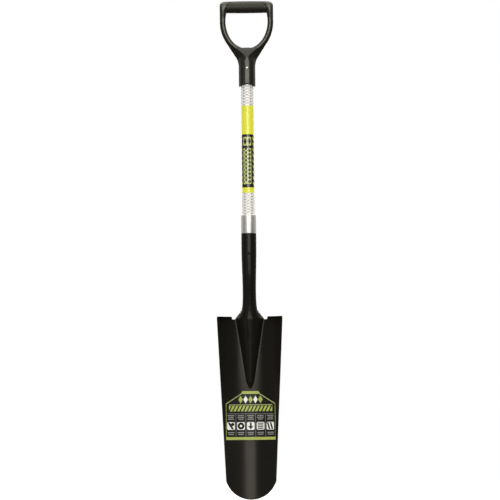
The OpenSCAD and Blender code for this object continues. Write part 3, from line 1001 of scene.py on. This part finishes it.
def make_shaft_label():
    """Lime wrap with a black frame, plain shapes on its two panels and slanted bars beside it."""
    low, high = 687.0, 804.6
    middle, frame_hw, panel_hw = -1.6, 14.0, 9.3
    box_low, box_high = 779.5, 798.8
    chain_low, chain_high = 694.2, 774.0
    bar_pitch, bar_h, bar_w, bar_drop = 12.4, 7.4, 7.5, 6.0
    links, chain_gap, dash_hh = 9, 1.5, 2.2
    black = [rectangle(middle - frame_hw, low, middle + frame_hw, high)]
    for side in (-1, 1):
        inner = middle + side * frame_hw
        outer = inner + side * bar_w
        for foot in np.arange(low + 1.0, high - 1.0, bar_pitch):
            bar = [(inner, foot), (outer, foot - bar_drop), (outer, foot - bar_drop + bar_h),
                   (inner, foot + bar_h)]
            bar = [(x, min(max(z, low), high)) for x, z in bar]
            black.append(bar[::side])
    panels = [rounded(middle - panel_hw, z_low, middle + panel_hw, z_high, 1.6)
              for z_low, z_high in ((box_low, box_high), (chain_low, chain_high))]
    shapes = [diamond(middle + x, (box_low + box_high) / 2, 3.9, 8.2) for x in (-4.7, 4.7)]
    link = (chain_high - chain_low - 2 * chain_gap) / links
    link_hh = link * 0.49
    for k in range(links):
        z = chain_low + chain_gap + (k + 0.5) * link
        shapes.append(diamond(middle + 4.5, z, 4.4, link_hh))
        shapes.append(diamond(middle - 2.7, z + link / 2, 2.5, link_hh))
        shapes.append(rectangle(middle - 8.2, z - dash_hh, middle - 6.2, z + dash_hh))
    inked = {("black", 1): black, ("pale", 2): panels, ("black", 3): shapes}
    half = WRAP_HALF - 0.3
    add_film("shaft_label", rectangle(-half, WRAP_LOW_Z, half, WRAP_HIGH_Z), inked,
             SHAFT_CUTS, round_shaft, TAPE_T - 0.1, shaft_inks, "lime")


def make_tape(name, z_low, z_high):
    """A plain wrap of tape, whose UV runs round and up the shaft in metres."""
    half = WRAP_HALF - 0.3
    verts, faces, indices = film_mesh(rectangle(-half, z_low, half, z_high), [], SHAFT_CUTS,
                                      round_shaft, TAPE_T - 0.02)
    piece = add_object(name, verts, faces, [name], [tape], indices)
    layer = piece.data.uv_layers.new(name="round_and_up")
    for loop in piece.data.loops:
        point = piece.data.vertices[loop.vertex_index].co
        turn = math.atan2(point.x, -point.y)
        layer.data[loop.index].uv = (turn * (SHAFT_R + TAPE_T) * MM, point.z)


# -------- the moulded grip

# hand opening: an ellipse, closed above by the crossbar
HAND_HW = 46.5
HAND_LOW_Z = 996.8
HAND_WIDE_Z = 1057.5

# outer outline: rounded shoulder, straight side, long bend, straight run down to the ferrule
SHOULDER_R = 10.0
SHOULDER_DROP = 2.4
BEND_R = 84.0
BEND_Z = 1055.5
RUN_LEAN = math.radians(33)

# arms and web: half depths at the ridge and at both edges, and how the surfaces rise
ARM_HD = 11.5
ARM_MIN_W = 8.0
RIDGE_OUT = 7.7
RIDGE_MIN_FALL = 4.0
INNER_HD = 8.4
INNER_RISE = 0.85
EDGE_HD = 7.2
EDGE_THIN_W = 13.0
EDGE_THIN_BY = 0.53
EDGE_THIN_MAX = 8.0
OUTER_HD = 3.6
OUTER_RISE = 0.74
WEB_LOW_Z = 962.0
WEB_TOP_Z = 997.0
WEB_RISE = 0.33
WEB_RISE_LEN = 20.5

# gusset: a three-sided flat in each upper corner, between the arm's ridge and the crossbar
GUSSET_IN_X = 49.4
GUSSET_OUT_X = 54.4
GUSSET_LOW_Z = 1054.0
GUSSET_HIGH_Z = 1096.5
GUSSET_SPREAD = 9.5
GUSSET_SPREAD_Z = 1075.0
GUSSET_SPREAD_LEN = 21.0
GUSSET_HD = 13.5

# crossbar: slightly barrelled
BAR_END_R = 12.4
BAR_Z = GRIP_TOP_Z - BAR_R

# ferrule: a sleeve with a flat land down its front and back, an arched rim and a bore
LAND_DROP = 0.13
FERRULE_FADE_Z = 966.0
FERRULE_TOP_Z = 1004.0
ARCH_R = 31.0
ARCH_RISE = 6.5
MOUTH_LEN = 12.0
BORE_TOP_Z = 975.2
DIMPLE_R = 5.0
DIMPLE_OUT = 3.7


def outside_hand(ax, z):
    """Distance outside the hand opening."""
    tall = HAND_WIDE_Z - HAND_LOW_Z
    q = np.hypot(ax / HAND_HW, (z - HAND_WIDE_Z) / tall)
    slope = np.hypot(ax / HAND_HW**2, (z - HAND_WIDE_Z) / tall**2) / np.maximum(q, 0.05)
    return (q - 1) / slope


def inside_outline(ax, z):
    """Distance inside the outer outline."""
    bx = ax - (GRIP_HW - BEND_R)
    bz = z - BEND_Z
    turn = np.arctan2(-bz, np.maximum(bx, 1e-6))
    bend = BEND_R - np.hypot(bx, bz)
    run = BEND_R - (bx * math.cos(RUN_LEAN) - bz * math.sin(RUN_LEAN))
    below = np.where(turn < 0, GRIP_HW - ax, np.where(turn < RUN_LEAN, bend, run))
    top = GRIP_TOP_Z - SHOULDER_DROP
    cx = ax - (GRIP_HW - SHOULDER_R)
    cz = z - (top - SHOULDER_R)
    shoulder = np.where((cx > 0) & (cz > 0), SHOULDER_R - np.hypot(cx, cz),
                        np.minimum(GRIP_HW - ax, top - z))
    return np.minimum(below, shoulder)


def arm_hd(inner, outer, ridge):
    """Half of the arms' depth: a steep slope from the opening, a flat ridge and a long slope."""
    width = np.maximum(inner + outer, ARM_MIN_W)
    inner_slope = INNER_HD + INNER_RISE * inner
    fall = np.maximum(width - RIDGE_OUT, RIDGE_MIN_FALL)
    edge_hd = EDGE_HD - EDGE_THIN_BY * np.clip(width - EDGE_THIN_W, 0, EDGE_THIN_MAX)
    outer_slope = np.maximum(edge_hd + (ARM_HD - edge_hd) * outer / fall,
                             OUTER_HD + OUTER_RISE * outer)
    return smooth_min(smooth_min(inner_slope, outer_slope, 0.8), ridge, 0.5)


def gusset_field(ax, ay, z):
    """Below zero inside the two gussets."""
    spread = clamp01((z - GUSSET_SPREAD_Z) / GUSSET_SPREAD_LEN)
    inner_x = GUSSET_IN_X - GUSSET_SPREAD * spread * spread
    hd = mix(ARM_HD, GUSSET_HD, ramp(GUSSET_LOW_Z + 2, GUSSET_LOW_Z + 30, z))
    gusset = smooth_max(inner_x - ax, ax - GUSSET_OUT_X, 1.0)
    gusset = smooth_max(gusset, ay - hd, 1.0)
    return np.maximum(smooth_max(gusset, z - GUSSET_HIGH_Z, 1.5), GUSSET_LOW_Z - z)


def ferrule_field(x, y, z, inner):
    """Below zero inside the ferrule, which draws in and dies away inside the web."""
    tube = smooth_max(np.hypot(x, y) - FERRULE_R, np.abs(y) - (FERRULE_R - LAND_DROP), 0.3)
    past = np.maximum(z - FERRULE_FADE_Z, 0)
    tube = tube + 0.45 * past * past / (past + 6)
    ferrule = smooth_max(tube, -inner, 2.0)
    ferrule = smooth_max(ferrule, FERRULE_LOW_Z - z, 4.0)
    return np.maximum(ferrule, z - FERRULE_TOP_Z)


def grip_field(x, y, z):
    """Below zero inside the grip, above zero outside, in mm."""
    ax = np.abs(x)
    ay = np.abs(y)
    inner = outside_hand(ax, z)
    outer = inside_outline(ax, z)
    ridge = ARM_HD + WEB_RISE * np.clip(WEB_TOP_Z - z, 0, WEB_RISE_LEN)
    side = smooth_max(-inner, -outer, 2.0)
    arms = smooth_max((ay - arm_hd(inner, outer, ridge)) * 0.8, side, 2.0)
    arms = np.maximum(arms, WEB_LOW_Z - z)
    bar_r = mix(BAR_R, BAR_END_R, (x / GRIP_HW) ** 2)
    bar = smooth_max(np.hypot(y, z - BAR_Z) - bar_r, ax - GRIP_HW, 12.0)
    body = np.maximum(smooth_min(arms, ferrule_field(x, y, z, inner), 7.0), ay - ridge)
    body = smooth_min(smooth_min(body, gusset_field(ax, ay, z), 0.8), bar, 2.0)
    arch = ARCH_R - np.hypot(x, z - (FERRULE_LOW_Z + ARCH_RISE - ARCH_R))
    body = smooth_max(body, arch, 1.6)
    bore_r = np.where(z < FERRULE_LOW_Z + MOUTH_LEN, SHAFT_R + TAPE_T + 0.12, SHAFT_R + 0.05)
    body = np.where(z < BORE_TOP_Z, np.maximum(body, bore_r - np.hypot(x, y)), body)
    dimple = DIMPLE_R - np.sqrt(
        x * x + (ay - FERRULE_R - DIMPLE_OUT) ** 2 + (z - GRIP_RIVET_Z) ** 2)
    return np.maximum(smooth_max(body, dimple, 0.5), ax - GRIP_HW)


def corner_slice(array, offset, shape):
    """The values at one corner of every cell of a grid."""
    return array[tuple(slice(o, o + n) for o, n in zip(offset, shape))]


def cell_verts(value, low, step):
    """A vertex in each cell that the surface crosses, at the mean of its edges' crossings."""
    inside = value < 0
    shape = tuple(n - 1 for n in value.shape)
    total = np.zeros(shape + (3,))
    count = np.zeros(shape)
    for axis, a in itertools.product(range(3), itertools.product((0, 1), repeat=3)):
        if a[axis]:
            continue
        b = [1 if k == axis else a[k] for k in range(3)]
        fa = corner_slice(value, a, shape)
        fb = corner_slice(value, b, shape)
        crossing = corner_slice(inside, a, shape) != corner_slice(inside, b, shape)
        t = np.where(crossing, fa / np.where(crossing, fa - fb, 1.0), 0.0)
        for k in range(3):
            total[..., k] += np.where(crossing, a[k] + (t if k == axis else 0.0), 0.0)
        count += crossing
    used = count > 0
    verts = (np.argwhere(used) + total[used] / count[used][:, None]) * step + np.array(low)
    return verts, used


def crossing_quads(inside, used):
    """A quad round each grid edge that the surface crosses, facing outwards."""
    index = np.full(used.shape, -1)
    index[used] = np.arange(used.sum())
    faces = []
    for axis in range(3):
        u, v = [a for a in range(3) if a != axis]
        here = [slice(1, n) for n in used.shape]
        here[axis] = slice(0, used.shape[axis])
        after = list(here)
        after[axis] = slice(1, used.shape[axis] + 1)
        first = inside[tuple(here)]
        second = inside[tuple(after)]
        spots = np.argwhere(first != second)
        spots[:, [u, v]] += 1
        quad = []
        for du, dv in ((0, 0), (1, 0), (1, 1), (0, 1)):
            at = spots.copy()
            at[:, u] -= du
            at[:, v] -= dv
            quad.append(index[tuple(at.T)])
        quad = np.stack(quad, axis=1)
        leaving = first[first != second]
        turned = leaving if axis != 1 else ~leaving
        quad[~turned] = quad[~turned][:, ::-1]
        faces.append(quad)
    return np.concatenate(faces)


def draw_onto(field, verts, reach):
    """Moves vertices along the field's slope onto its zero surface, at most reach at a time."""
    small = 0.02
    for _ in range(4):
        slope = np.stack([
            (field(*(verts + d).T) - field(*(verts - d).T)) / (2 * small) for d in small * np.eye(3)
        ], axis=1)
        steep = np.maximum((slope**2).sum(axis=1), 0.05)
        move = slope * (field(*verts.T) / steep)[:, None]
        length = np.linalg.norm(move, axis=1, keepdims=True)
        verts = verts - move * np.minimum(1, reach / np.maximum(length, 1e-9))
    return verts


def make_grip():
    """The grip as a quad mesh (surface nets) over its field, sampled on a grid."""
    step = 0.95
    margin = 1.6
    low = (-GRIP_HW - margin, -FERRULE_R - margin, FERRULE_LOW_Z - margin)
    high = (GRIP_HW + margin, FERRULE_R + margin, GRIP_TOP_Z + margin)
    axes = [np.arange(a, b + step, step) for a, b in zip(low, high)]
    value = grip_field(*np.meshgrid(*axes, indexing="ij"))
    verts, used = cell_verts(value, low, step)
    verts = draw_onto(grip_field, verts, 0.4 * step)
    faces = crossing_quads(value < 0, used)
    grip = add_object("d_grip", verts, faces, ["d_grip"], [plastic])
    smooth_shade(grip, 60)


# -------- turned pieces and rivets

def make_collar():
    """Steel collar with softly rounded rims."""
    inner = SHAFT_R + 0.3
    chamfer = 0.3
    lip = 0.7
    rim = [(inner, chamfer), (inner + chamfer, 0)]
    rim += [(SOCKET_R - lip + lip * math.sin(a), lip - lip * math.cos(a))
            for a in np.linspace(0, math.pi / 2, 6)]
    profile = [(r, COLLAR_LOW_Z + up) for r, up in rim]
    profile += [(r, COLLAR_HIGH_Z - down) for r, down in rim[::-1]]
    verts, faces = lathe_mesh(profile, 128, lambda back, right, z: (right, -back, z), True)
    collar = add_object("socket_collar", verts, faces, ["socket_collar"], [steel])
    smooth_shade(collar, 40)


def make_rivet(name, z, seat, head_h, far_end, material):
    """Rivet along Y with a domed head at the front, seat in front of the axis.

    The far end is a second head where far_end is None, or else flat at that place along Y.
    """
    head_r = 3.3
    shank_r = 2.2
    profile = [(0.0, -seat - head_h)]
    for a in np.linspace(0, math.pi / 2, 9)[1:]:
        profile.append((head_r * math.sin(a), -seat - head_h * math.cos(a)))
    profile.append((shank_r, -seat))
    if far_end is None:
        profile += [(r, -y) for r, y in profile[::-1]]
    else:
        profile += [(shank_r, far_end), (0.0, far_end)]
    verts, faces = lathe_mesh(profile, 40, lambda right, up, y: (right, y, z + up), False)
    rivet = add_object(name, verts, faces, [name], [material])
    joined = bmesh.new()
    joined.from_mesh(rivet.data)
    bmesh.ops.remove_doubles(joined, verts=joined.verts, dist=1e-6)
    bmesh.ops.recalc_face_normals(joined, faces=joined.faces)
    joined.to_mesh(rivet.data)
    joined.free()
    smooth_shade(rivet, 50)


# -------- the pieces

make_blade()
make_back_plate()
make_blade_label()
make_collar()
make_shaft_label()
make_tape("lower_reflective_tape", COLLAR_HIGH_Z + 0.1, WRAP_LOW_Z - 0.05)
make_tape("upper_reflective_tape", WRAP_HIGH_Z + 0.05, FERRULE_LOW_Z + 11)
make_grip()
make_rivet("grip_rivet", GRIP_RIVET_Z, FERRULE_R - 0.7, 1.7, None, rivet_steel)
make_rivet("socket_rivet", SOCKET_RIVET_Z, SOCKET_R - 0.05, 1.5, 14.0, paint)

for node, material in (("handle_shell", fibreglass_material()), ("handle_core", core_material())):
    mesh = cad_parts[node].data
    mesh.materials.clear()
    mesh.materials.append(material)


# -------- studio

# light by direction, in degrees: a turn is from straight in front of the blade towards +X, a rise
# is over the horizon, and a pair says where a light's fade begins and ends
CORE_TURN = 2.0
CORE_FADE = (15, 27)
CORE_LIGHT = 8.6
WINDOW_FADE = (46, 60)
WINDOW_LIGHT = 0.25
PANEL_RISE = (-0.5, 4)
PANEL_TOP = (3, 21)
BACK_TURN = (70, 110)
BACK_RISE = (-30, -5)
BACK_LIGHT = 0.42
REAR_TURN = (150, 168)
REAR_FADE = (12, 34)
REAR_LIGHT = 3.0
SIDE_TURN = -44.0
SIDE_FADE = (8, 18)
SIDE_RISE_FADE = (5, 9)
SIDE_LIGHT = 0.6
OVERHEAD_RISE = (28, 44)
OVERHEAD_LIGHT = 1.8
AMBIENT_LIGHT = 0.14
DIFFUSE_FILL = 0.24

CAMERA_AWAY = 6.8
CAMERA_BELOW = math.radians(4.2)
CAMERA_ROLL = math.radians(-0.61)
AIM_RIGHT = 0.0024
AIM_DOWN = 0.0022


def make_floor():
    """A plain pale floor that reflects nothing back onto the spade."""
    size = 14.0
    gap = 0.0005
    net = Net("pale_floor")
    tone = net.blend(net.noise(3, 3), (0.80, 0.80, 0.795), (0.83, 0.83, 0.825))
    matt = net.add("BsdfDiffuse", Color=tone, Roughness=0.6)
    glow = net.add("Emission", Color=(1, 1, 0.995), Strength=0.45)
    both = net.add("AddShader", i0=matt.outputs[0], i1=glow.outputs[0])
    net.add("OutputMaterial", Surface=both.outputs[0])
    mesh = bpy.data.meshes.new("studio_floor")
    corners = [(-size, -size, 0), (size, -size, 0), (size, size, 0), (-size, size, 0)]
    mesh.from_pydata(corners, [], [(0, 1, 2, 3)])
    mesh.materials.append(net.owner)
    floor = bpy.data.objects.new("studio_floor", mesh)
    floor.location.z = cad_bounds[0][2] - gap
    floor.visible_glossy = False
    floor.visible_diffuse = False
    bpy.context.scene.collection.objects.link(floor)


def make_world():
    """A bright core in a dim window in front, a strip to one side, a dim wall with a bright patch
    behind, and light overhead, over a faint even light. The camera itself sees plain white."""
    net = Net("studio_panels", world=True)
    direction = net.add("TexCoord").outputs["Generated"]
    x, y, z = net.add("SeparateXYZ", Vector=direction).outputs
    turn = net.math("DEGREES", net.math("ARCTAN2", x, net.times(y, -1.0)))
    rise = net.math("DEGREES", net.math("ARCSINE", z))
    away = net.math("ABSOLUTE", turn)
    core = net.fade(net.apart(turn, CORE_TURN), CORE_FADE, CORE_LIGHT)
    window = net.fade(away, WINDOW_FADE, WINDOW_LIGHT)
    panel = net.times(net.plus(core, window), net.scale_range(rise, *PANEL_RISE))
    panel = net.times(panel, net.fade(rise, PANEL_TOP))
    back = net.times(net.scale_range(away, *BACK_TURN, 0.0, BACK_LIGHT),
                     net.scale_range(rise, *BACK_RISE))
    rear = net.times(net.scale_range(away, *REAR_TURN, 0.0, REAR_LIGHT),
                     net.fade(net.math("ABSOLUTE", rise), REAR_FADE))
    back = net.plus(back, rear)
    side = net.times(net.fade(net.apart(turn, SIDE_TURN), SIDE_FADE, SIDE_LIGHT),
                     net.fade(net.math("ABSOLUTE", rise), SIDE_RISE_FADE))
    back = net.plus(back, side)
    overhead = net.scale_range(rise, *OVERHEAD_RISE, 0.0, OVERHEAD_LIGHT)
    light = net.plus(net.plus(panel, back), net.plus(overhead, AMBIENT_LIGHT))
    path = net.add("LightPath").outputs
    fill = net.times(path["Is Diffuse Ray"], DIFFUSE_FILL)
    level = net.add("Mix", {"data_type": "FLOAT"}, i0=path["Is Camera Ray"],
                    i2=net.plus(light, fill), i3=1.0).outputs[0]
    warm = net.blend(path["Is Camera Ray"], (1, 0.975, 0.92), (1, 1, 1))
    glow = net.add("Background", Color=warm, Strength=level)
    net.add("OutputWorld", Surface=glow.outputs[0])
    bpy.context.scene.world = net.owner


def make_camera():
    """A long lens in front of the blade, looking slightly up, turned as the spade leans."""
    low, high = (Vector(corner) for corner in cad_bounds)
    aim = Vector((AIM_RIGHT, 0.0, (low.z + high.z) / 2 - AIM_DOWN))
    place = aim + CAMERA_AWAY * Vector((0, -math.cos(CAMERA_BELOW), -math.sin(CAMERA_BELOW)))
    data = bpy.data.cameras.new("studio_camera")
    data.sensor_width = 36.0
    data.lens = data.sensor_width * CAMERA_AWAY / (high.z - low.z)
    camera = bpy.data.objects.new("studio_camera", data)
    look = (aim - place).to_track_quat("-Z", "Y").to_matrix().to_4x4()
    camera.matrix_world = Matrix.Translation(place) @ look @ Matrix.Rotation(CAMERA_ROLL, 4, "Z")
    bpy.context.scene.collection.objects.link(camera)
    bpy.context.scene.camera = camera


make_floor()
make_world()
make_camera()
bpy.context.scene.view_settings.view_transform = "Standard"
